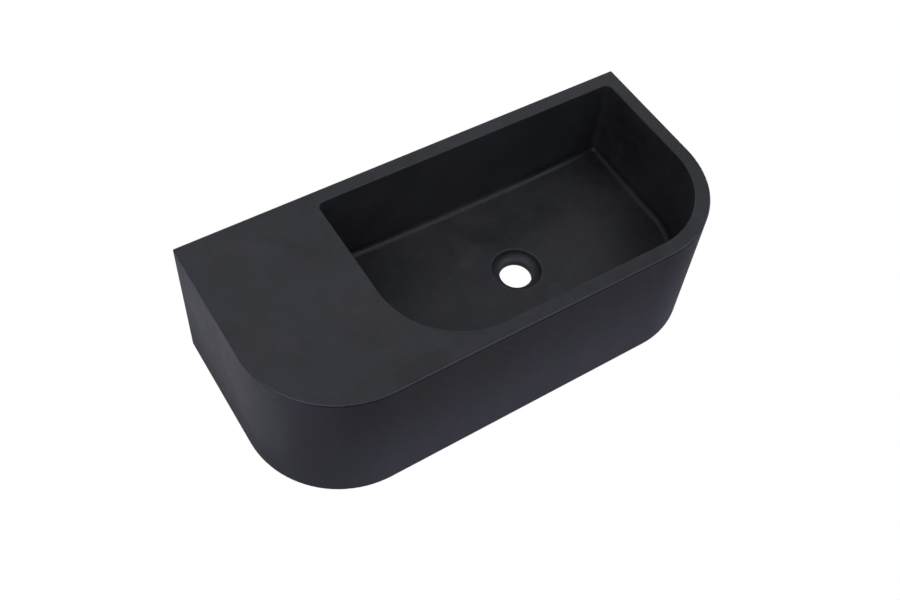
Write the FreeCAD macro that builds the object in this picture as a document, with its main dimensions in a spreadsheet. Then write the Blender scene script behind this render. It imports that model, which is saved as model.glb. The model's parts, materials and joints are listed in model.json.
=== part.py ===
import FreeCAD, Part
import math
import os
from types import SimpleNamespace

import Sketcher
from FreeCAD import Vector

# Wall-hung wash basin with a side shelf: one hollow casting on two concealed steel brackets.
# Millimetres. The origin is the middle of the footprint at the height of the bottom edge.
# +X runs to the right along the front, +Y towards the wall, +Z up. The back plane is y = depth / 2.

# ---------------------------------------------------------------- driving dimensions
SIZES = {
    # the casting
    "width": (650, "overall width"),
    "depth": (300, "overall depth, wall to front"),
    "height": (200, "overall height"),
    "front_radius": (128, "outer radius of the two front corners"),
    "wall": (20, "rim, apron and shelf thickness"),
    "shelf_width": (180, "left side to the bowl"),
    "bowl_depth": (125, "rim to the edge of the floor"),
    "floor_fall": (8.7, "fall of the floor over its reach"),
    "floor_reach": (265, "distance from the waste at which the fall begins"),
    "floor_middle": (120, "radius of the nearly flat middle of the floor"),
    "middle_fall": (0.3, "fall of the middle of the floor"),
    "floor_thickness": (20, "floor at the waste"),
    "bowl_corner": (9, "upright back corners of the bowl"),
    "bowl_fillet": (8, "between the walls and the floor of the bowl"),
    "rim_inner_round": (2, "rim, towards the bowl"),
    "rim_outer_round": (1.5, "rim, towards the outside"),
    "foot_round": (1, "bottom edge"),
    "hollow_corner": (9, "small upright corners of the hollows underneath"),
    "hollow_fillet": (6, "between the walls and the roofs of the hollows"),
    "overrun": (5, "how far a core passes the face it opens through"),
    # the waste seat
    "waste_right": (4, "waste, right of the middle of the bowl"),
    "waste_back": (3, "waste, behind the middle of the bowl"),
    "seat_radius": (33.5, "seat at the floor"),
    "seat_depth": (11.5, "depth of the dished seat"),
    "seat_dish": (16, "radius of the dished profile of the seat"),
    "seat_foot": (23.4, "foot of the seat"),
    "seat_round": (2, "lip of the seat"),
    "waste_radius": (22, "waste hole"),
    "waste_round": (1.2, "upper edge of the waste hole"),
    # the fixing points
    "bracket_pitch": (280, "between the two brackets"),
    "front_row": (-55, "y of the front fixings"),
    "rear_row": (88, "y of the rear fixings"),
    "boss_radius": (18, "boss under the bowl"),
    "boss_face": (40, "z of the faces of the bosses"),
    "boss_fillet": (3, "root of each boss"),
    "insert_radius": (6.5, "cast-in insert"),
    "insert_length": (14, "cast-in insert"),
    "insert_bore": (4.05, "bore, clear of the crest of the bolt"),
    "insert_bore_depth": (13, "depth of the blind bore"),
    "insert_mouth": (0.8, "chamfer at the mouth of the bore"),
    # the brackets
    "pad_thickness": (2, "rubber pad under each boss"),
    "pad_side": (36, "side of the square pad"),
    "pad_corner": (4, "corners of the pad"),
    "pad_hole": (4.5, "hole in the pad"),
    "arm_width": (50, "channel arm"),
    "arm_front": (-82, "y of the front end of the arm"),
    "arm_gauge": (4, "steel of the arm"),
    "arm_nose": (13, "height of the arm at its front end"),
    "arm_root": (30, "height of the arm at the plate"),
    "arm_bend": (6, "outside of the bends of the arm"),
    "slot_radius": (4.5, "half the width of each slot in the arm"),
    "slot_travel": (8, "between the centres of the ends of a slot"),
    "plate_width": (110, "wall plate"),
    "plate_gauge": (5, "steel of the wall plate"),
    "plate_foot": (2, "z of the lower edge of the wall plate"),
    "plate_corner": (4, "corners of the wall plate"),
    "anchor_radius": (4.5, "each hole for a wall anchor"),
    "anchor_pitch": (76, "between the two anchor holes of a plate"),
    "anchor_height": (19, "z of the anchor holes"),
    "notch_gap": (2, "gap round the wall plate in the casting"),
    # the fasteners
    "bolt_radius": (4, "M8 bolt"),
    "bolt_length": (20, "under the head"),
    "bolt_point": (0.8, "chamfer at the end of the bolt"),
    "thread_pitch": (1.25, "M8 coarse thread"),
    "thread_depth": (0.6, "depth of a thread ring"),
    "thread_rings": (13, "number of thread rings"),
    "head_across": (13, "hexagon across its flats"),
    "head_height": (5.3, "height of the hexagon"),
    "washer_radius": (12, "outer radius"),
    "washer_bore": (4.2, "inner radius"),
    "washer_thickness": (2, "thickness"),
}

doc = FreeCAD.newDocument("WallHungBasin")
sheet = doc.addObject("Spreadsheet::Sheet", "Sizes")
for row, (alias, (value, note)) in enumerate(SIZES.items(), start=1):
    sheet.set(f"A{row}", note)
    sheet.set(f"B{row}", str(value))
    sheet.setAlias(f"B{row}", alias)
doc.recompute()


class Size:
    """A length written as an expression of the sheet, with what it comes to now."""

    def __init__(self, text, value):
        self.text = text
        self.value = float(value)

    @staticmethod
    def of(other):
        return other if isinstance(other, Size) else Size(repr(other), other)

    def __add__(self, other):
        other = Size.of(other)
        return Size(f"({self.text} + {other.text})", self.value + other.value)

    def __sub__(self, other):
        other = Size.of(other)
        return Size(f"({self.text} - {other.text})", self.value - other.value)

    def __mul__(self, other):
        other = Size.of(other)
        return Size(f"({self.text} * {other.text})", self.value * other.value)

    def __truediv__(self, other):
        other = Size.of(other)
        return Size(f"({self.text} / {other.text})", self.value / other.value)

    def __neg__(self):
        return Size(f"(0 - {self.text})", -self.value)


s = SimpleNamespace(**{name: Size(f"Sizes.{name}", sheet.get(name)) for name in SIZES})
ZERO = Size("0", 0)

# ---------------------------------------------------------------- places that follow from the sizes
right_side = s.width / 2
left_side = -right_side
back = s.depth / 2
front = -back
bowl_left = left_side + s.shelf_width
bowl_right = right_side - s.wall
bowl_front = front + s.wall
bowl_back = back - s.wall
inner_radius = s.front_radius - s.wall
bowl_middle = (bowl_left + bowl_right) / 2
waste_x = bowl_middle + s.waste_right
waste_y = s.waste_back
floor_edge = s.height - s.bowl_depth
floor_low = floor_edge - s.floor_fall
floor_at_seat = floor_low + s.middle_fall * s.seat_radius / s.floor_middle
underside = floor_low - s.floor_thickness
arm_top = s.boss_face - s.pad_thickness
arm_under = arm_top - s.arm_gauge
washer_under = arm_under - s.washer_thickness
plate_front = back - s.plate_gauge

BRACKET_X = {
    "left": bowl_middle - s.bracket_pitch / 2,
    "right": bowl_middle + s.bracket_pitch / 2,
}
ROW_Y = {"front": s.front_row, "rear": s.rear_row}
TINY = 0.01


# ---------------------------------------------------------------- drawing helpers
def bind(target, prop, size):
    """Let a property follow an expression of the sheet."""
    target.setExpression(prop, size.text)


def make_body(label):
    """An empty PartDesign body."""
    body = doc.addObject("PartDesign::Body", label)
    body.Label = label
    return body


def place(body, x=ZERO, y=ZERO, z=ZERO):
    """Put a body where the assembly has it."""
    for axis, size in (("x", x), ("y", y), ("z", z)):
        bind(body, f"Placement.Base.{axis}", size)


def sketch_on(body, role, name, height=None, across=None):
    """A sketch on one of the body's own origin planes, or moved above it or across it."""
    sketch = body.newObject("Sketcher::SketchObject", name)
    plane = next(item for item in body.Origin.OriginFeatures if item.Role == role)
    sketch.AttachmentSupport = [(plane, "")]
    sketch.MapMode = "FlatFace"
    for axis, size in (("x", across), ("z", height)):
        if size is not None:
            bind(sketch, f"AttachmentOffset.Base.{axis}", size)
    doc.recompute()
    return sketch


def hold(sketch, kind, *where, size):
    """A dimensional constraint that follows the sheet."""
    index = sketch.addConstraint(Sketcher.Constraint(kind, *where, size.value))
    sketch.renameConstraint(index, f"{kind}{index}")
    bind(sketch, f"Constraints.{kind}{index}", size)


def hold_point(sketch, geometry, end, x, y):
    """Hold a point at (x, y) in the sketch."""
    for kind, axis, size in (("DistanceX", -2, x), ("DistanceY", -1, y)):
        if size is ZERO:
            sketch.addConstraint(Sketcher.Constraint("PointOnObject", geometry, end, axis))
        else:
            hold(sketch, kind, -1, 1, geometry, end, size=size)


def draw_polygon(sketch, corners):
    """A closed run of lines through corners."""
    points = [Vector(x.value, y.value, 0) for x, y in corners]
    base = sketch.GeometryCount
    count = len(points)
    for i, point in enumerate(points):
        sketch.addGeometry(Part.LineSegment(point, points[(i + 1) % count]), False)
    for i in range(count):
        ends = (base + i, 2, base + (i + 1) % count, 1)
        sketch.addConstraint(Sketcher.Constraint("Coincident", *ends))
    for i, (x, y) in enumerate(corners):
        hold_point(sketch, base + i, 1, x, y)


def draw_rectangle(sketch, left, right, low, high):
    """A rectangle between two x and two y."""
    draw_polygon(sketch, [(left, low), (right, low), (right, high), (left, high)])


def draw_chain(sketch, corners):
    """An open run of lines through corners, the first geometry of its sketch."""
    points = [Vector(x.value, y.value, 0) for x, y in corners]
    for i, (first, last) in enumerate(zip(points, points[1:])):
        sketch.addGeometry(Part.LineSegment(first, last), False)
        if i:
            sketch.addConstraint(Sketcher.Constraint("Coincident", i - 1, 2, i, 1))
        hold_point(sketch, i, 1, *corners[i])
    hold_point(sketch, len(points) - 2, 2, *corners[-1])
    return points


def close_with_arc(sketch, points, centre, joint):
    """An arc that closes a chain, from its last point to its first. joint is how it leaves the last."""
    first, last = points[0], points[-1]
    angles = [math.atan2(end.y - centre.y, end.x - centre.x) for end in (last, first)]
    circle = Part.Circle(centre, Vector(0, 0, 1), (first - centre).Length)
    arc = sketch.addGeometry(Part.ArcOfCircle(circle, *angles), False)
    sketch.addConstraint(Sketcher.Constraint(joint, arc, 1, len(points) - 2, 2))
    sketch.addConstraint(Sketcher.Constraint("Coincident", arc, 2, 0, 1))
    return arc


def draw_circle(sketch, x, y, radius):
    """A circle of a radius at (x, y)."""
    centre = Vector(x.value, y.value, 0)
    index = sketch.addGeometry(Part.Circle(centre, Vector(0, 0, 1), radius.value), False)
    hold_point(sketch, index, 3, x, y)
    hold(sketch, "Radius", index, size=radius)


def draw_slot(sketch, x, y, radius, travel):
    """A slot along the sketch's y: two half circles joined by two lines."""
    low, high = y - travel / 2, y + travel / 2
    up = Vector(0, 0, 1)
    base = sketch.GeometryCount
    for end, start_angle in ((high, 0), (low, math.pi)):
        circle = Part.Circle(Vector(x.value, end.value, 0), up, radius.value)
        arc = Part.ArcOfCircle(circle, start_angle, start_angle + math.pi)
        sketch.addGeometry(arc, False)
    reach = radius.value
    for sign, start, stop in ((-1, high, low), (1, low, high)):
        first = Vector(x.value + sign * reach, start.value, 0)
        last = Vector(x.value + sign * reach, stop.value, 0)
        sketch.addGeometry(Part.LineSegment(first, last), False)
    top, bottom, left, right = base, base + 1, base + 2, base + 3
    for joint in ((top, 2, left, 1), (left, 2, bottom, 1), (bottom, 2, right, 1), (right, 2, top, 1)):
        sketch.addConstraint(Sketcher.Constraint("Tangent", *joint))
    hold_point(sketch, top, 3, x, high)
    hold_point(sketch, bottom, 3, x, low)
    hold(sketch, "Radius", top, size=radius)


def extrude(body, kind, name, sketch, length, upwards=True):
    """A Pad or a Pocket of a sketch. upwards follows the sketch's normal."""
    made = body.newObject(f"PartDesign::{kind}", name)
    made.Profile = sketch
    bind(made, "Length", length)
    made.Reversed = upwards == (kind == "Pocket")
    sketch.Visibility = False
    return made


def turn(body, kind, name, sketch):
    """A Revolution or a Groove about the sketch's own upright axis."""
    made = body.newObject(f"PartDesign::{kind}", name)
    made.Profile = sketch
    made.ReferenceAxis = (sketch, ["V_Axis"])
    made.Angle = 360
    sketch.Visibility = False
    return made


def edges_where(made, test):
    """The names of a feature's edges whose bounding box passes a test."""
    doc.recompute()
    edges = enumerate(made.Shape.Edges, start=1)
    return [f"Edge{i}" for i, edge in edges if test(edge.BoundBox)]


def dress(body, kind, name, made, prop, size, test):
    """A Fillet or a Chamfer on the edges of a feature that pass a test."""
    names = edges_where(made, test)
    if not names:
        raise RuntimeError(f"{body.Label}: {name} finds no edge")
    dressed = body.newObject(f"PartDesign::{kind}", name)
    dressed.Base = (made, names)
    bind(dressed, prop, size)
    doc.recompute()
    return dressed


def is_upright(box):
    return box.XLength < TINY and box.YLength < TINY


def is_level_at(box, z):
    return abs(box.ZMin - z.value) < TINY and abs(box.ZMax - z.value) < TINY


def touches_outside(box):
    """Whether an edge of the casting lies on its outside."""
    return (box.XMin < left_side.value + TINY or box.XMax > right_side.value - TINY
            or box.YMin < front.value + TINY or box.YMax > back.value - TINY)


def ring(x, y, radius):
    """A test for level circles of one radius about (x, y)."""
    def test(box):
        centred = abs(box.Center.x - x.value) < TINY and abs(box.Center.y - y.value) < TINY
        return centred and box.ZLength < TINY and abs(box.XLength - 2 * radius.value) < 0.1
    return test


# ---------------------------------------------------------------- the casting
def block(body, name, bounds, low, high):
    """A pad with a rectangular plan, between two heights."""
    sketch = sketch_on(body, "XY_Plane", f"{name}Plan", low)
    draw_rectangle(sketch, *bounds)
    return extrude(body, "Pad", name, sketch, high - low)


def draw_fall(sketch):
    """The section under the floor: nearly flat in the middle, then curving up towards the walls."""
    low = floor_low - s.overrun
    points = draw_chain(sketch, [
        (s.floor_reach, floor_edge),
        (s.floor_reach, low),
        (ZERO, low),
        (ZERO, floor_low),
        (s.floor_middle, floor_low + s.middle_fall),
    ])
    slope = (points[-1] - points[-2]).normalize()
    rise = Vector(-slope.y, slope.x, 0)
    chord = points[0] - points[-1]
    centre = points[-1] + rise * (chord.Length ** 2 / (2 * chord.dot(rise)))
    close_with_arc(sketch, points, centre, "Tangent")


def make_bowl_core():
    """The space inside the bowl: straight walls over a floor that dips to the waste."""
    body = make_body("bowl_core")
    bounds = (bowl_left - waste_x, bowl_right - waste_x, bowl_front - waste_y, bowl_back - waste_y)
    made = block(body, "Bowl", bounds, floor_low, s.height + s.overrun)
    made = dress(body, "Fillet", "FrontCorners", made, "Radius", inner_radius,
                 lambda box: is_upright(box) and box.YMin < 0)
    made = dress(body, "Fillet", "BackCorners", made, "Radius", s.bowl_corner,
                 lambda box: is_upright(box) and box.YMin > bounds[3].value - 1)
    section = sketch_on(body, "XZ_Plane", "FallSection")
    draw_fall(section)
    made = turn(body, "Groove", "FloorFall", section)
    dress(body, "Fillet", "FloorFillet", made, "Radius", s.bowl_fillet,
          lambda box: box.ZMax < floor_edge.value + TINY and box.ZLength > TINY)
    place(body, waste_x, waste_y)
    return body


def make_floor_core():
    """The hollow underneath the whole basin, up to the underside of the bowl."""
    body = make_body("floor_core")
    bounds = (left_side + s.wall, right_side - s.wall, bowl_front, bowl_back)
    made = block(body, "Low", bounds, -s.overrun, underside)
    made = dress(body, "Fillet", "FrontCorners", made, "Radius", inner_radius,
                 lambda box: is_upright(box) and box.YMin < 0)
    made = dress(body, "Fillet", "BackCorners", made, "Radius", s.hollow_corner,
                 lambda box: is_upright(box) and box.YMin > bowl_back.value - 1)
    dress(body, "Fillet", "RoofFillet", made, "Radius", s.hollow_fillet,
          lambda box: is_level_at(box, underside))
    return body


def make_shelf_core():
    """The taller hollow under the shelf."""
    body = make_body("shelf_core")
    bounds = (left_side + s.wall, bowl_left - s.wall, bowl_front, bowl_back)
    made = block(body, "High", bounds, -s.overrun, s.height - s.wall)
    made = dress(body, "Fillet", "FrontCorner", made, "Radius", inner_radius,
                 lambda box: is_upright(box) and box.YMin < 0 and box.XMin < bounds[0].value + 1)
    made = dress(body, "Fillet", "SmallCorners", made, "Radius", s.hollow_corner,
                 lambda box: is_upright(box) and (
                     box.YMin > bowl_back.value - 1 or box.XMin > bounds[1].value - 1))
    dress(body, "Fillet", "RoofFillet", made, "Radius", s.hollow_fillet,
          lambda box: is_level_at(box, s.height - s.wall))
    return body


def draw_fixings(sketch, radius):
    """A circle at each of the four fixing points."""
    for x in BRACKET_X.values():
        for y in ROW_Y.values():
            draw_circle(sketch, x, y, radius)


def cut_cores(body, cores):
    """Take the cores out of the casting."""
    cut = body.newObject("PartDesign::Boolean", "Cores")
    cut.setObjects(cores)
    cut.Type = "Cut"
    return cut


def cut_notches(body):
    """The two openings at the foot of the back wall, where the brackets reach the wall."""
    sketch = sketch_on(body, "XZ_Plane", "NotchSection", -(back + s.overrun))
    half = s.plate_width / 2 + s.notch_gap
    for x in BRACKET_X.values():
        draw_rectangle(sketch, x - half, x + half, -s.overrun, s.boss_face)
    notch = extrude(body, "Pocket", "Notches", sketch, s.wall + s.overrun * 2)
    return dress(body, "Fillet", "NotchCorners", notch, "Radius", s.plate_corner,
                 lambda box: is_level_at(box, s.boss_face) and box.XLength < TINY
                 and abs(box.YLength - s.wall.value) < TINY)


def draw_seat(sketch):
    """The section of the waste: a dished seat, a small ledge and a straight hole."""
    top = floor_at_seat + s.overrun
    foot = floor_at_seat - s.seat_depth
    low = underside - s.overrun
    points = draw_chain(sketch, [
        (s.seat_radius, floor_at_seat),
        (s.seat_radius, top),
        (ZERO, top),
        (ZERO, low),
        (s.waste_radius, low),
        (s.waste_radius, foot),
        (s.seat_foot, foot),
    ])
    chord = points[0] - points[-1]
    rise = math.sqrt(s.seat_dish.value ** 2 - chord.Length ** 2 / 4)
    middle = (points[0] + points[-1]) / 2
    centre = middle + Vector(-chord.y, chord.x, 0).normalize() * rise
    dish = close_with_arc(sketch, points, centre, "Coincident")
    hold(sketch, "Radius", dish, size=s.seat_dish)


def cut_seat(body):
    """The waste hole through the floor, with its dished seat and rounded edges."""
    section = sketch_on(body, "XZ_Plane", "SeatSection", -waste_y, across=waste_x)
    draw_seat(section)
    made = turn(body, "Groove", "WasteSeat", section)
    made = dress(body, "Fillet", "SeatLip", made, "Radius", s.seat_round,
                 lambda box: ring(waste_x, waste_y, s.seat_radius)(box)
                 and box.ZMin > floor_low.value)
    return dress(body, "Fillet", "HoleEdge", made, "Radius", s.waste_round,
                 lambda box: ring(waste_x, waste_y, s.waste_radius)(box)
                 and box.ZMin > underside.value + TINY)


def make_casting():
    """Bowl, shelf, apron and back wall in one piece, with its waste seat and fixing bosses."""
    body = make_body("basin_casting")
    made = block(body, "Outside", (left_side, right_side, front, back), ZERO, s.height)
    dress(body, "Fillet", "FrontCorners", made, "Radius", s.front_radius,
          lambda box: is_upright(box) and box.YMin < 0)
    cut_cores(body, [make_bowl_core(), make_floor_core(), make_shelf_core()])

    bosses = sketch_on(body, "XY_Plane", "BossPlan", s.boss_face)
    draw_fixings(bosses, s.boss_radius)
    made = extrude(body, "Pad", "Bosses", bosses, underside - s.boss_face + 1)
    rings = [ring(x, y, s.boss_radius) for x in BRACKET_X.values() for y in ROW_Y.values()]
    dress(body, "Fillet", "BossRoots", made, "Radius", s.boss_fillet,
          lambda box: is_level_at(box, underside) and any(test(box) for test in rings))
    sockets = sketch_on(body, "XY_Plane", "SocketPlan", s.boss_face)
    draw_fixings(sockets, s.insert_radius)
    extrude(body, "Pocket", "InsertSockets", sockets, s.insert_length)
    cut_seat(body)
    made = cut_notches(body)

    made = dress(body, "Fillet", "RimInside", made, "Radius", s.rim_inner_round,
                 lambda box: is_level_at(box, s.height) and not touches_outside(box))
    made = dress(body, "Fillet", "RimOutside", made, "Radius", s.rim_outer_round,
                 lambda box: touches_outside(box) and (
                     is_level_at(box, s.height)
                     or (is_upright(box) and box.YMin > back.value - TINY
                         and box.ZLength > s.height.value / 2)))
    dress(body, "Fillet", "FootEdge", made, "Radius", s.foot_round,
          lambda box: is_level_at(box, ZERO) and touches_outside(box)
          and box.YMin < back.value - TINY)
    return body


# ---------------------------------------------------------------- the fixings
def make_insert(label, x, y):
    """A brass insert with a blind bore, cast into a boss."""
    body = make_body(label)
    section = sketch_on(body, "XZ_Plane", "Section")
    draw_polygon(section, [
        (s.insert_bore + s.insert_mouth, ZERO),
        (s.insert_radius, ZERO),
        (s.insert_radius, s.insert_length),
        (ZERO, s.insert_length),
        (ZERO, s.insert_bore_depth),
        (s.insert_bore, s.insert_bore_depth),
        (s.insert_bore, s.insert_mouth),
    ])
    turn(body, "Revolution", "Turned", section)
    place(body, x, y, s.boss_face)
    return body


def make_pad(label, x, y):
    """A square rubber pad with rounded corners, between a boss and an arm."""
    body = make_body(label)
    plan = sketch_on(body, "XY_Plane", "Plan")
    half = s.pad_side / 2
    draw_rectangle(plan, -half, half, -half, half)
    draw_circle(plan, ZERO, ZERO, s.pad_hole)
    made = extrude(body, "Pad", "Sheet", plan, s.pad_thickness)
    dress(body, "Fillet", "Corners", made, "Radius", s.pad_corner, is_upright)
    place(body, x, y, arm_top)
    return body


def make_washer(label, x, y):
    """A wide washer that covers the slot in the arm."""
    body = make_body(label)
    plan = sketch_on(body, "XY_Plane", "Plan")
    draw_circle(plan, ZERO, ZERO, s.washer_radius)
    draw_circle(plan, ZERO, ZERO, s.washer_bore)
    extrude(body, "Pad", "Disc", plan, s.washer_thickness)
    place(body, x, y, washer_under)
    return body


def make_bolt(label, x, y):
    """A hexagon bolt pointing up, with its bearing face at the height of the body's origin."""
    body = make_body(label)
    flat = s.head_across / 2
    corner = s.head_across / math.sqrt(3)
    hexagon = sketch_on(body, "XY_Plane", "Hexagon", -s.head_height)
    draw_polygon(hexagon, [
        (corner, ZERO), (corner / 2, flat), (-corner / 2, flat),
        (-corner, ZERO), (-corner / 2, -flat), (corner / 2, -flat),
    ])
    extrude(body, "Pad", "Head", hexagon, s.head_height)
    crown = sketch_on(body, "XZ_Plane", "CrownSection")
    draw_polygon(crown, [
        (flat * 0.95, -s.head_height),
        (flat * 1.3, -s.head_height),
        (flat * 1.3, flat * 0.35 * math.tan(math.radians(30)) - s.head_height),
    ])
    turn(body, "Groove", "Crown", crown)
    circle = sketch_on(body, "XY_Plane", "ShankPlan")
    draw_circle(circle, ZERO, ZERO, s.bolt_radius)
    made = extrude(body, "Pad", "Shank", circle, s.bolt_length)
    dress(body, "Chamfer", "Point", made, "Size", s.bolt_point,
          lambda box: is_level_at(box, s.bolt_length))
    cut_thread(body)
    place(body, x, y, washer_under)
    return body


def cut_thread(body):
    """The thread of a bolt, as a row of rings that stops short of the head."""
    start = s.bolt_length - s.bolt_point - s.thread_pitch * s.thread_rings
    outside = s.bolt_radius + 0.1
    section = sketch_on(body, "XZ_Plane", "ThreadSection")
    draw_polygon(section, [
        (outside, start),
        (outside, start + s.thread_pitch),
        (s.bolt_radius - s.thread_depth, start + s.thread_pitch / 2),
    ])
    ring_cut = turn(body, "Groove", "ThreadRing", section)
    rings = body.newObject("PartDesign::LinearPattern", "Thread")
    rings.Originals = [ring_cut]
    rings.Direction = (section, ["V_Axis"])
    bind(rings, "Length", s.thread_pitch * (s.thread_rings - 1))
    bind(rings, "Occurrences", s.thread_rings)
    body.Tip = rings


def make_bracket(label, x):
    """A tapering channel arm welded to a wall plate."""
    body = make_body(label)
    half = s.arm_width / 2
    profile = sketch_on(body, "YZ_Plane", "ArmProfile", -half)
    draw_polygon(profile, [
        (s.arm_front, arm_top - s.arm_nose),
        (plate_front, arm_top - s.arm_root),
        (plate_front, arm_top),
        (s.arm_front, arm_top),
    ])
    made = extrude(body, "Pad", "Arm", profile, s.arm_width)
    dress(body, "Fillet", "OuterBends", made, "Radius", s.arm_bend,
          lambda box: is_level_at(box, arm_top) and box.XLength < TINY)
    trough = sketch_on(body, "YZ_Plane", "TroughProfile", s.arm_gauge - half)
    draw_rectangle(trough, s.arm_front - s.overrun, back, -s.overrun, arm_under)
    made = extrude(body, "Pocket", "Trough", trough, s.arm_width - s.arm_gauge * 2)
    dress(body, "Fillet", "InnerBends", made, "Radius", s.arm_bend - s.arm_gauge,
          lambda box: is_level_at(box, arm_under) and box.XLength < TINY)
    slots = sketch_on(body, "XY_Plane", "SlotPlan", arm_under - s.overrun)
    for y in ROW_Y.values():
        draw_slot(slots, ZERO, y, s.slot_radius, s.slot_travel)
    extrude(body, "Pocket", "Slots", slots, s.arm_gauge + s.overrun * 2)

    plate = sketch_on(body, "XZ_Plane", "PlateFace", -back)
    draw_rectangle(plate, -s.plate_width / 2, s.plate_width / 2, s.plate_foot, arm_top)
    made = extrude(body, "Pad", "Plate", plate, s.plate_gauge)
    dress(body, "Fillet", "PlateCorners", made, "Radius", s.plate_corner,
          lambda box: box.XLength < TINY and box.ZLength < TINY
          and abs(abs(box.XMin) - s.plate_width.value / 2) < TINY)
    holes = sketch_on(body, "XZ_Plane", "AnchorHoles", -(back + s.overrun))
    for side in (-1, 1):
        draw_circle(holes, s.anchor_pitch / 2 * side, s.anchor_height, s.anchor_radius)
    extrude(body, "Pocket", "Anchors", holes, s.plate_gauge + s.overrun * 2)
    place(body, x)
    return body


# ---------------------------------------------------------------- the assembly
pieces = [make_casting()]
for side, x in BRACKET_X.items():
    pieces.append(make_bracket(f"bracket_{side}", x))
    for row, y in ROW_Y.items():
        spot = f"{row}_{side}"
        pieces.append(make_insert(f"insert_{spot}", x, y))
        pieces.append(make_pad(f"pad_{spot}", x, y))
        pieces.append(make_washer(f"washer_{spot}", x, y))
        pieces.append(make_bolt(f"bolt_{spot}", x, y))
doc.recompute()

for item in doc.Objects:
    if {"Invalid", "Error"} & set(item.State):
        raise RuntimeError(f"{item.Label} did not build: {item.State}")
os.makedirs("parts", exist_ok=True)
for piece in pieces:
    shape = piece.Shape
    if shape.isNull() or not shape.isValid() or len(shape.Solids) != 1:
        raise RuntimeError(f"{piece.Label} is not one sound solid")
    shape.exportStep(f"parts/{piece.Label}.step")
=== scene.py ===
import json
import math

import bpy
from mathutils import Matrix, Vector


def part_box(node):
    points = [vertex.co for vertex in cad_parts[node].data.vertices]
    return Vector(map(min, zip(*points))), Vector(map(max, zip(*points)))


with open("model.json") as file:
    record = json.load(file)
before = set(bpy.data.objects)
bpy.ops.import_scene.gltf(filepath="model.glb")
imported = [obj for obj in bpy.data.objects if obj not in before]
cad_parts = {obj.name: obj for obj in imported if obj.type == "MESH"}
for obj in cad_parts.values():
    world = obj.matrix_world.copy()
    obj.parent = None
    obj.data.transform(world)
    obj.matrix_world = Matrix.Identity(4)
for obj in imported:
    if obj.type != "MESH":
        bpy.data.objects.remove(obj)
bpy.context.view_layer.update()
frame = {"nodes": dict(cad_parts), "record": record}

# The looks of a wall-hung basin: a black cast bowl and shelf on hidden steel brackets.
# Every shape is the frame's own. Lengths are metres and angles degrees unless a name says otherwise.

# ---------------------------------------------------------------- places, from the frame
BASIN_LOW, BASIN_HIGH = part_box("basin_casting")
HEIGHT = BASIN_HIGH.z - BASIN_LOW.z
MOUNTS = {mount["name"]: mount for mount in frame["record"]["mounts"]}
WASTE = Vector(MOUNTS["waste_hole"]["pos_m"])
SEAT_RADIUS = 0.0335


# ---------------------------------------------------------------- camera
CAMERA = {
    "azimuth": -38.865,
    "elevation": 52.586,
    "roll": 7.640,
    "distance": 1.6066,
    "target": (0.0710, 0.0644, 0.0),
    "lens_mm": 45.478,
    "sensor_mm": 36.0,
    "shift": (-0.03329, -0.03250),
}


def make_camera():
    """A camera in front of the shelf, looking down into the bowl."""
    data = bpy.data.cameras.new("camera")
    data.lens = CAMERA["lens_mm"]
    data.sensor_width = CAMERA["sensor_mm"]
    data.shift_x, data.shift_y = CAMERA["shift"]
    camera = bpy.data.objects.new("camera", data)
    bpy.context.scene.collection.objects.link(camera)
    azimuth, elevation, roll = (math.radians(CAMERA[name]) for name in ("azimuth", "elevation", "roll"))
    back = Vector((
        math.sin(azimuth) * math.cos(elevation),
        -math.cos(azimuth) * math.cos(elevation),
        math.sin(elevation),
    ))
    level = Vector((math.cos(azimuth), math.sin(azimuth), 0.0))
    up = back.cross(level)
    right = math.cos(roll) * level + math.sin(roll) * up
    up = math.cos(roll) * up - math.sin(roll) * level
    turn = Matrix((right, up, back)).transposed()
    place = Vector(CAMERA["target"]) + back * CAMERA["distance"]
    camera.matrix_world = Matrix.LocRotScale(place, turn, None)
    bpy.context.scene.camera = camera


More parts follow.
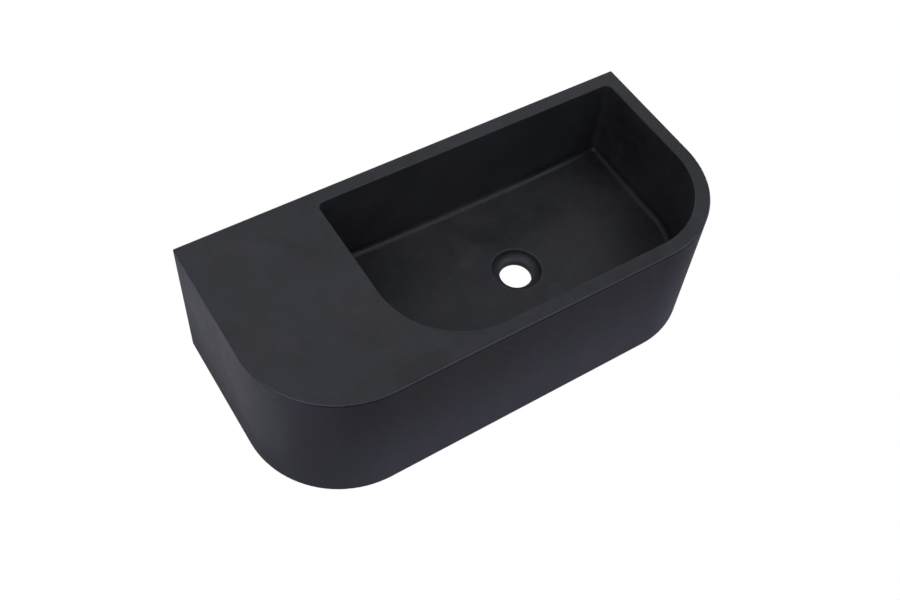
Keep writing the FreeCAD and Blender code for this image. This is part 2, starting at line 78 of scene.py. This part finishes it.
# ---------------------------------------------------------------- building materials
class Tree:
    """A material, with short ways to add and join its nodes."""

    def __init__(self, name):
        self.material = bpy.data.materials.new(name)
        self.material.use_nodes = True
        self.nodes = self.material.node_tree.nodes
        self.links = self.material.node_tree.links
        self.shader = self.nodes["Principled BSDF"]
        self.place = self.add("ShaderNodeTexCoord").outputs["Object"]
        self.normal = self.add("ShaderNodeNewGeometry").outputs["Normal"]

    def feed(self, socket, value):
        """Join an output to a socket, or set the socket's own value."""
        if isinstance(value, bpy.types.NodeSocket):
            self.links.new(value, socket)
        else:
            socket.default_value = value

    def add(self, kind, inputs=None, **settings):
        """A node with its settings and its inputs."""
        node = self.nodes.new(kind)
        for name, value in settings.items():
            setattr(node, name, value)
        for name, value in (inputs or {}).items():
            self.feed(node.inputs[name], value)
        return node

    def finish(self, **inputs):
        """Feed the shader, by the names of its inputs with _ for a space, and return the material."""
        for name, value in inputs.items():
            self.feed(self.shader.inputs[name.replace("_", " ")], value)
        return self.material

    def math(self, operation, first, second=0.0):
        return self.add("ShaderNodeMath", {0: first, 1: second}, operation=operation).outputs[0]

    def total(self, start, *parts):
        """A number plus any number of (weight, value) parts, each value taken about one half."""
        result = start
        for weight, value in parts:
            about_zero = self.math("SUBTRACT", value, 0.5)
            result = self.math("ADD", self.math("MULTIPLY", about_zero, weight), result)
        return result

    def product(self, first, *others):
        """Several masks or numbers multiplied together."""
        for other in others:
            first = self.math("MULTIPLY", first, other)
        return first

    def marked(self, start, *parts):
        """A number plus any number of (weight, mask) parts."""
        for weight, mask in parts:
            start = self.math("ADD", start, self.product(mask, weight))
        return start

    def vector(self, operation, first, second=(0.0, 0.0, 0.0)):
        """Vector arithmetic: its result is a vector, or a number for LENGTH and DOT_PRODUCT."""
        node = self.add("ShaderNodeVectorMath", {0: first, 1: second}, operation=operation)
        return node.outputs["Value" if operation in ("LENGTH", "DOT_PRODUCT") else "Vector"]

    def axis(self, value, name):
        """One part of a vector."""
        return self.add("ShaderNodeSeparateXYZ", {"Vector": value}).outputs[name]

    def noise(self, per_metre, detail=4.0, roughness=0.55, distortion=0.0, place=None):
        """Cloudy noise from 0 to 1, with so many features to the metre."""
        inputs = {
            "Vector": place or self.place,
            "Scale": per_metre,
            "Detail": detail,
            "Roughness": roughness,
            "Distortion": distortion,
        }
        return self.add("ShaderNodeTexNoise", inputs).outputs["Fac"]

    def cells(self, per_metre, output="Distance"):
        """Voronoi cells, with so many to the metre."""
        inputs = {"Vector": self.place, "Scale": per_metre}
        return self.add("ShaderNodeTexVoronoi", inputs).outputs[output]

    def spread(self, value, start, stop, to_start=0.0, to_stop=1.0):
        """Carry a range onto another, with a smooth step and no overshoot."""
        inputs = {
            "Value": value,
            "From Min": start,
            "From Max": stop,
            "To Min": to_start,
            "To Max": to_stop,
        }
        node = self.add("ShaderNodeMapRange", inputs, interpolation_type="SMOOTHSTEP")
        return node.outputs["Result"]

    def mix(self, factor, first, second):
        """A colour between two colours."""
        node = self.add("ShaderNodeMix", data_type="RGBA")
        for name, value in (("Factor_Float", factor), ("A_Color", first), ("B_Color", second)):
            self.feed(next(item for item in node.inputs if item.identifier == name), value)
        return next(item for item in node.outputs if item.identifier == "Result_Color")

    def bump(self, height, metres, normal=None):
        """A bump of so many metres for each unit of height."""
        node = self.add("ShaderNodeBump", {"Height": height, "Distance": metres})
        if normal is not None:
            self.feed(node.inputs["Normal"], normal)
        return node.outputs["Normal"]

    def edges(self, radius):
        """1 on edges sharper than a radius, 0 on flat faces."""
        rounded = self.add("ShaderNodeBevel", {"Radius": radius}, samples=6).outputs["Normal"]
        return self.spread(self.vector("DOT_PRODUCT", rounded, self.normal), 0.99, 0.86)


def shade(colour, factor):
    """An opaque colour, made lighter or darker."""
    return (*(channel * factor for channel in colour), 1.0)


# ---------------------------------------------------------------- cast stone
STONE = (0.0212, 0.0229, 0.0274)
STONE_WARM = (0.0226, 0.0226, 0.0274)
STONE_LILAC = (0.0240, 0.0222, 0.0345)
DARKEST, LIGHTEST = 0.42, 1.95
STONE_TONE = 0.40
STONE_ROUGHNESS = 0.45
WALL_LIFT = 0.10
OUTER_FINENESS = 0.35

# where marks begin and where they are full: heights on the casting, and distances from the waste's axis
FLOOR_MARKS = (HEIGHT * 0.43, HEIGHT * 0.38)
# heights of the painted shade in the coves where the bowl's walls meet its floor
COVE_SHADE_MARKS = (HEIGHT * 0.46, HEIGHT * 0.42)
# distances from the waste where the floor's painted shade begins and is full
END_SHADE_MARKS = (0.12, 0.24)
SEAT_MARKS = (SEAT_RADIUS - 0.0005, SEAT_RADIUS - 0.004)

# bands by their middle and half their width: a smear round the waste, a painted highlight on the seat's lip, a
# painted shadow line under the rim
SMEAR_BAND = (0.070, 0.050)
LIP_HIGHLIGHT_BAND = (SEAT_RADIUS + 0.0015, 0.0022)
RIM_SHADOW_BAND = (HEIGHT - 0.0020, 0.0020)

# heights where the painted highlight on the rim's rounded outer edge begins and is full
RIM_HIGHLIGHT_MARKS = (HEIGHT - 0.0012, HEIGHT - 0.0006)
WORN_RADIUS = 0.0022
# a painted dark reflection high on the bowl's right wall near its back corner: its middle and its reach
DARK_REFLECTION_PLACE = Vector((BASIN_HIGH.x - 0.020, BASIN_HIGH.y - 0.085, HEIGHT * 0.72))
DARK_REFLECTION_REACH = 0.080
SHARE_FADE = 0.04


def outward(tree):
    """1 on faces that look away from the middle of the basin, 0 on those that look into it."""
    level = tree.vector("MULTIPLY", tree.place, (1.0, 1.0, 0.0))
    return tree.spread(tree.vector("DOT_PRODUCT", tree.normal, level), 0.01, 0.06)


def sloping(tree):
    """1 on rounded edges, 0 on level and on upright faces."""
    tilt = tree.math("ABSOLUTE", tree.axis(tree.normal, "Z"))
    return tree.product(tree.spread(tilt, 0.03, 0.35), tree.spread(tilt, 0.995, 0.90))


def around_waste(tree):
    """The distance of a point from the waste's axis."""
    offset = tree.vector("SUBTRACT", tree.place, tuple(WASTE))
    return tree.vector("LENGTH", tree.vector("MULTIPLY", offset, (1.0, 1.0, 0.0)))


def near(tree, place, reach):
    """1 at a place, fading to 0 at a distance from it."""
    offset = tree.vector("SUBTRACT", tree.place, tuple(place))
    return tree.spread(tree.vector("LENGTH", offset), reach, 0.0)


def band(tree, value, middle, half_width):
    """1 at the middle of a band, fading to 0 at its sides."""
    away = tree.math("ABSOLUTE", tree.math("SUBTRACT", value, middle))
    return tree.spread(away, half_width, 0.0)


def scattered(tree, per_metre, core, edge, share):
    """Small round marks in the few cells of a pattern whose random number passes a share."""
    size = tree.cells(per_metre)
    choice = tree.cells(per_metre, output="Color")
    chosen = tree.spread(choice, share - SHARE_FADE, share + SHARE_FADE)
    return tree.product(tree.spread(size, edge, core), chosen)


def bowl_marks(tree, height, inside, sloped):
    """The bowl is wiped paler round the waste and paler in the waste's seat; painted shade darkens the floor's
    ends and its coves, a painted highlight rings the seat, and a painted dark reflection lies high on the
    right wall.
    """
    reach = around_waste(tree)
    floor = tree.product(inside, tree.spread(height, *FLOOR_MARKS))
    swirl = tree.noise(17.0, detail=5.0, roughness=0.62, distortion=1.2)
    dark_reflection = near(tree, DARK_REFLECTION_PLACE, DARK_REFLECTION_REACH)
    return {
        "wiped": tree.product(band(tree, reach, *SMEAR_BAND), floor, tree.spread(swirl, 0.42, 0.66)),
        # painted shade on the floor towards its ends, far from the waste
        "ends": tree.product(tree.spread(reach, *END_SHADE_MARKS), floor),
        "seat": tree.spread(reach, *SEAT_MARKS),
        # a painted highlight on the rounded lip of the waste's seat
        "lip_highlight": band(tree, reach, *LIP_HIGHLIGHT_BAND),
        # painted shade in the coved fillet at the foot of the bowl's walls, also made rougher
        "cove_shade": tree.product(sloped, tree.spread(height, *COVE_SHADE_MARKS), inside),
        # a painted dark reflection, also made rougher
        "dark_reflection": tree.product(dark_reflection, tree.spread(swirl, 0.20, 0.55), inside),
    }


def wall_marks(tree, height, outside, sloped):
    """The outer walls have upright runs and a painted highlight on their rounded top edge; the front is
    painted lighter towards its bottom, as lit from the floor, with a painted shadow line under the rim.
    """
    upright = tree.vector("MULTIPLY", tree.place, (1.0, 1.0, 0.15))
    runs = tree.noise(26.0, detail=2.5, place=upright)
    ahead = tree.spread(tree.axis(tree.normal, "Y"), -0.80, -1.0)
    sideways = tree.math("ABSOLUTE", tree.axis(tree.normal, "X"))
    # painted light from the floor: the front is lighter towards its bottom and darker towards its top
    painted_floor_glow = tree.math("SUBTRACT", tree.spread(height, HEIGHT, 0.0), 0.5)
    lift = tree.math("ADD", tree.total(WALL_LIFT, (0.40, runs)), tree.product(ahead, painted_floor_glow))
    # a painted shadow line just under the rim's top edge, on the front and back faces
    rim_shadow_line = band(tree, height, *RIM_SHADOW_BAND)
    return {
        "wall": tree.product(outside, lift),
        "rim_shadow_line": tree.product(outside, rim_shadow_line, tree.spread(sideways, 0.85, 0.45)),
        # a painted highlight along the rim's rounded outer edge, also made glossier
        "rim_highlight": tree.product(sloped, tree.spread(height, *RIM_HIGHLIGHT_MARKS), outside),
    }


def stone_colour(tree, tone, outside, clouds):
    """The stone's colour at a tone, drifting warmer in places and to lilac on the outer walls."""
    drift = tree.spread(tree.noise(11.0, detail=3.0), 0.38, 0.62)
    lilac = tree.product(outside, tree.total(0.85, (0.6, clouds)))
    ends = []
    for factor in (DARKEST, LIGHTEST):
        plain = tree.mix(drift, shade(STONE, factor), shade(STONE_WARM, factor))
        ends.append(tree.mix(lilac, plain, shade(STONE_LILAC, factor)))
    return tree.mix(tone, *ends)


def cast_stone():
    """Black pigmented cast stone: cloudy and finely grained, with pits, pale flecks and worn edges."""
    tree = Tree("black_casting")
    height = tree.axis(tree.place, "Z")
    outside = outward(tree)
    inside = tree.math("SUBTRACT", 1.0, outside)
    sloped = sloping(tree)
    clouds = tree.noise(7.0, detail=3.0, distortion=0.4)
    patches = tree.noise(24.0, detail=5.0, roughness=0.6, distortion=0.5)
    mottle = tree.noise(105.0, detail=4.0)
    grain = tree.noise(1300.0, detail=2.0)
    marks = {
        **bowl_marks(tree, height, inside, sloped),
        **wall_marks(tree, height, outside, sloped),
        "flecks": scattered(tree, 430.0, 0.12, 0.34, 0.85),
        "pits": scattered(tree, 105.0, 0.05, 0.10, 0.76),
        "worn": tree.product(tree.edges(WORN_RADIUS), tree.spread(mottle, 0.35, 0.65)),
    }

    # the outer walls are smoother: their fine texture and their bumps are fainter
    fine = tree.spread(outside, 0.0, 1.0, 1.0, OUTER_FINENESS)
    texture = tree.product(fine, tree.total(0.0, (0.24, mottle), (0.16, grain)))
    tone = tree.math("ADD", tree.total(STONE_TONE, (0.55, clouds), (0.55, patches)), texture)
    # the weights below also set painted light: highlights on the seat's rim and the casting's top edge, shade
    # at the floor's ends, in its coves and under the rim, and a dark reflection on the bowl's right wall
    tone_weights = {
        "wall": 1.0, "wiped": 0.22, "flecks": 0.30, "worn": 0.12, "pits": -0.40, "rim_shadow_line": -0.80,
        "dark_reflection": -0.45, "ends": -0.30, "cove_shade": -0.15, "lip_highlight": 0.35, "seat": 0.45, "rim_highlight": 0.55,
    }
    tone = tree.marked(tone, *((weight, marks[name]) for name, weight in tone_weights.items()))

    dullness = tree.total(STONE_ROUGHNESS, (0.14, clouds), (0.14, patches), (0.14, mottle), (0.10, grain))
    dullness_weights = {
        "pits": 0.10, "worn": -0.05, "wiped": 0.06, "rim_shadow_line": 0.30,
        "dark_reflection": 0.20, "cove_shade": 0.07, "lip_highlight": -0.04, "rim_highlight": -0.12,
    }
    dullness = tree.marked(dullness, *((weight, marks[name]) for name, weight in dullness_weights.items()))

    normal = None
    for pattern, metres in ((patches, 0.0006), (mottle, 0.00014), (grain, 0.00003)):
        normal = tree.bump(tree.product(fine, pattern), metres, normal)
    normal = tree.bump(tree.product(marks["pits"], -1.0), 0.0004, normal)
    return tree.finish(
        Base_Color=stone_colour(tree, tone, outside, clouds), Roughness=dullness, Normal=normal,
        Specular_IOR_Level=0.42, IOR=1.45)


# ---------------------------------------------------------------- hidden fittings
def coated_steel():
    """Black powder coat with its orange peel, dusty in places and rubbed through on the edges."""
    tree = Tree("coated_steel")
    peel = tree.noise(700.0, detail=2.0, roughness=0.4)
    dust = tree.noise(24.0, detail=5.0, roughness=0.65)
    sparkle = tree.noise(2600.0, detail=1.0)
    rubbed = tree.product(tree.edges(0.0012), tree.spread(tree.noise(130.0), 0.45, 0.62))
    coat = tree.mix(tree.spread(dust, 0.42, 0.72), (0.012, 0.012, 0.013, 1.0), (0.034, 0.034, 0.036, 1.0))
    coat = tree.mix(tree.spread(sparkle, 0.60, 0.75, 0.0, 0.3), coat, (0.075, 0.075, 0.080, 1.0))
    colour = tree.mix(rubbed, coat, (0.24, 0.24, 0.25, 1.0))
    roughness = tree.total(0.48, (0.35, dust), (0.15, peel))
    normal = tree.bump(peel, 0.00012)
    return tree.finish(Base_Color=colour, Roughness=roughness, Metallic=rubbed, Normal=normal)


def zinc_steel():
    """Bright zinc on steel: fine brushing, grey spangle and duller edges."""
    tree = Tree("zinc_steel")
    along = tree.vector("MULTIPLY", tree.place, (1.0, 0.06, 1.0))
    brushing = tree.noise(3200.0, detail=2.0, place=along)
    spangle = tree.cells(520.0, output="Color")
    film = tree.noise(95.0, detail=4.0, roughness=0.6)
    worn = tree.edges(0.0005)
    zinc = tree.mix(tree.spread(film, 0.35, 0.65), (0.36, 0.37, 0.40, 1.0), (0.60, 0.61, 0.62, 1.0))
    zinc = tree.mix(tree.spread(spangle, 0.0, 1.0, 0.0, 0.22), zinc, (0.72, 0.73, 0.74, 1.0))
    colour = tree.mix(tree.product(worn, 0.5), zinc, (0.78, 0.78, 0.79, 1.0))
    roughness = tree.total(0.32, (0.22, film), (0.16, brushing))
    normal = tree.bump(brushing, 0.00002)
    return tree.finish(Base_Color=colour, Roughness=roughness, Metallic=1.0, Normal=normal)


def insert_brass():
    """Turned brass, a little tarnished, with its fine tool lines."""
    tree = Tree("insert_brass")
    rings = tree.noise(2500.0, detail=1.0, place=tree.vector("MULTIPLY", tree.place, (0.1, 0.1, 1.0)))
    tarnish = tree.noise(160.0, detail=4.0, roughness=0.65)
    colour = tree.mix(
        tree.spread(tarnish, 0.38, 0.66), (0.70, 0.50, 0.22, 1.0), (0.36, 0.22, 0.09, 1.0))
    roughness = tree.total(0.34, (0.40, tarnish), (0.15, rings))
    normal = tree.bump(rings, 0.00003)
    return tree.finish(Base_Color=colour, Roughness=roughness, Metallic=1.0, Normal=normal)


def pad_rubber():
    """Moulded black rubber with a bloom of grey and a fine matt grain."""
    tree = Tree("pad_rubber")
    grain = tree.noise(1600.0, detail=2.0)
    bloom = tree.noise(70.0, detail=5.0, roughness=0.65)
    colour = tree.mix(
        tree.spread(bloom, 0.36, 0.70), (0.010, 0.010, 0.010, 1.0), (0.040, 0.040, 0.042, 1.0))
    roughness = tree.total(0.78, (0.30, bloom), (0.12, grain))
    normal = tree.bump(grain, 0.00006)
    return tree.finish(
        Base_Color=colour, Roughness=roughness, Normal=normal, Specular_IOR_Level=0.35)


def finish_nodes():
    """Give every node of the frame its material, by the first word of its name."""
    makers = {
        "basin": cast_stone,
        "bracket": coated_steel,
        "bolt": zinc_steel,
        "washer": zinc_steel,
        "insert": insert_brass,
        "pad": pad_rubber,
    }
    made = {maker: maker() for maker in set(makers.values())}
    for name, node in frame["nodes"].items():
        material = made[makers[name.split("_")[0]]]
        for slot in node.material_slots:
            slot.material = material


# ---------------------------------------------------------------- studio
FLOOR_REACH = 6.0
FLOOR_DROP = 0.65
FLOOR_PAPER = (0.42, 0.42, 0.46, 1.0)
ROOM_GREY = (0.15, 0.15, 0.15, 1.0)
WHITE = (1.0, 1.0, 1.0, 1.0)
LIGHT_COLOUR = (0.95, 0.98, 1.05)
WARM_COLOUR = (1.02, 0.97, 1.00)
WARM_LAMPS = ("left_high",)
SOFTBOX_WIDTH = 1.5
SOFTBOX_DISTANCE = 3.0
SOFTBOX_AIM = Vector((0.05, 0.0, 0.1))

# each softbox: its azimuth from +X and its elevation, and its radiance against a white background of 1
SOFTBOXES = {
    "left": (195, 35, 1.0),
    "left_high": (180, 60, 3.5),
    "front_left": (225, 35, 1.5),
    "front": (270, 35, 1.0),
    "front_right": (315, 60, 4.0),
    "right_low": (0, 10, 3.0),
    "back_right": (45, 35, 1.0),
    "back": (90, 60, 1.0),
    "back_low": (90, 10, 3.0),
}

# each glow is a low flat lamp beside the basin: its middle, its sides and its radiance
GLOWS = {
    "left_glow": ((-0.60, 0.10), (0.50, 0.40), 0.20),
}


def make_lamp(name, shape, sides, radiance):
    """A flat lamp, not yet in its place."""
    data = bpy.data.lights.new(name, "AREA")
    data.shape = shape
    data.size, data.size_y = sides
    data.color = WARM_COLOUR if name in WARM_LAMPS else LIGHT_COLOUR
    fill = math.pi / 4 if shape == "DISK" else 1.0
    data.energy = radiance * math.pi * fill * sides[0] * sides[1]
    lamp = bpy.data.objects.new(name, data)
    bpy.context.scene.collection.objects.link(lamp)
    return lamp


def make_softbox(name, azimuth, elevation, radiance):
    """A round soft light at a distance, turned to the basin."""
    lamp = make_lamp(name, "DISK", (SOFTBOX_WIDTH, SOFTBOX_WIDTH), radiance)
    azimuth, elevation = math.radians(azimuth), math.radians(elevation)
    way = Vector((
        math.cos(azimuth) * math.cos(elevation),
        math.sin(azimuth) * math.cos(elevation),
        math.sin(elevation),
    ))
    place = SOFTBOX_AIM + way * SOFTBOX_DISTANCE
    lamp.matrix_world = Matrix.LocRotScale(place, way.to_track_quat("Z", "Y"), None)


def make_glow(name, middle, sides, radiance):
    """A flat lamp level with the basin's bottom edge that shines up."""
    lamp = make_lamp(name, "RECTANGLE", sides, radiance)
    lamp.matrix_world = Matrix.Translation((*middle, BASIN_LOW.z)) @ Matrix.Rotation(math.pi, 4, "X")


class Mixer:
    """The nodes of a floor or a room that looks plain white in the picture but lights the basin dimly."""

    def __init__(self, owner, output):
        owner.use_nodes = True
        self.nodes = owner.node_tree.nodes
        self.links = owner.node_tree.links
        self.nodes.clear()
        self.output = self.nodes.new(output)

    def plain(self, kind, colour):
        """A shader of one colour."""
        node = self.nodes.new(kind)
        node.inputs["Color"].default_value = colour
        return node.outputs[0]

    def where(self, lit, seen):
        """One shader for the light it gives the basin, and another for the picture."""
        path = self.nodes.new("ShaderNodeLightPath")
        mixed = self.nodes.new("ShaderNodeMixShader")
        self.links.new(path.outputs["Is Camera Ray"], mixed.inputs["Fac"])
        self.links.new(lit, mixed.inputs[1])
        self.links.new(seen, mixed.inputs[2])
        return mixed.outputs["Shader"]

    def show(self, shader):
        self.links.new(shader, self.output.inputs["Surface"])


def make_floor():
    """A wide pale floor well below the basin, as under one that hangs on a wall."""
    corners = [(-1, -1), (1, -1), (1, 1), (-1, 1)]
    points = [(x * FLOOR_REACH, y * FLOOR_REACH, BASIN_LOW.z - FLOOR_DROP) for x, y in corners]
    mesh = bpy.data.meshes.new("floor")
    mesh.from_pydata(points, [], [(0, 1, 2, 3)])
    floor = bpy.data.objects.new("floor", mesh)
    bpy.context.scene.collection.objects.link(floor)
    material = bpy.data.materials.new("floor")
    mesh.materials.append(material)
    mixer = Mixer(material, "ShaderNodeOutputMaterial")
    paper = mixer.plain("ShaderNodeBsdfDiffuse", FLOOR_PAPER)
    white = mixer.plain("ShaderNodeEmission", WHITE)
    mixer.show(mixer.where(paper, white))


def make_world():
    """A dim room round a white background."""
    world = bpy.data.worlds.new("room")
    bpy.context.scene.world = world
    mixer = Mixer(world, "ShaderNodeOutputWorld")
    dim = mixer.plain("ShaderNodeBackground", ROOM_GREY)
    white = mixer.plain("ShaderNodeBackground", WHITE)
    mixer.show(mixer.where(dim, white))


# ---------------------------------------------------------------- the scene
make_camera()
finish_nodes()
make_floor()
make_world()
for name, softbox in SOFTBOXES.items():
    make_softbox(name, *softbox)
for name, glow in GLOWS.items():
    make_glow(name, *glow)
bpy.context.scene.view_settings.view_transform = "Standard"
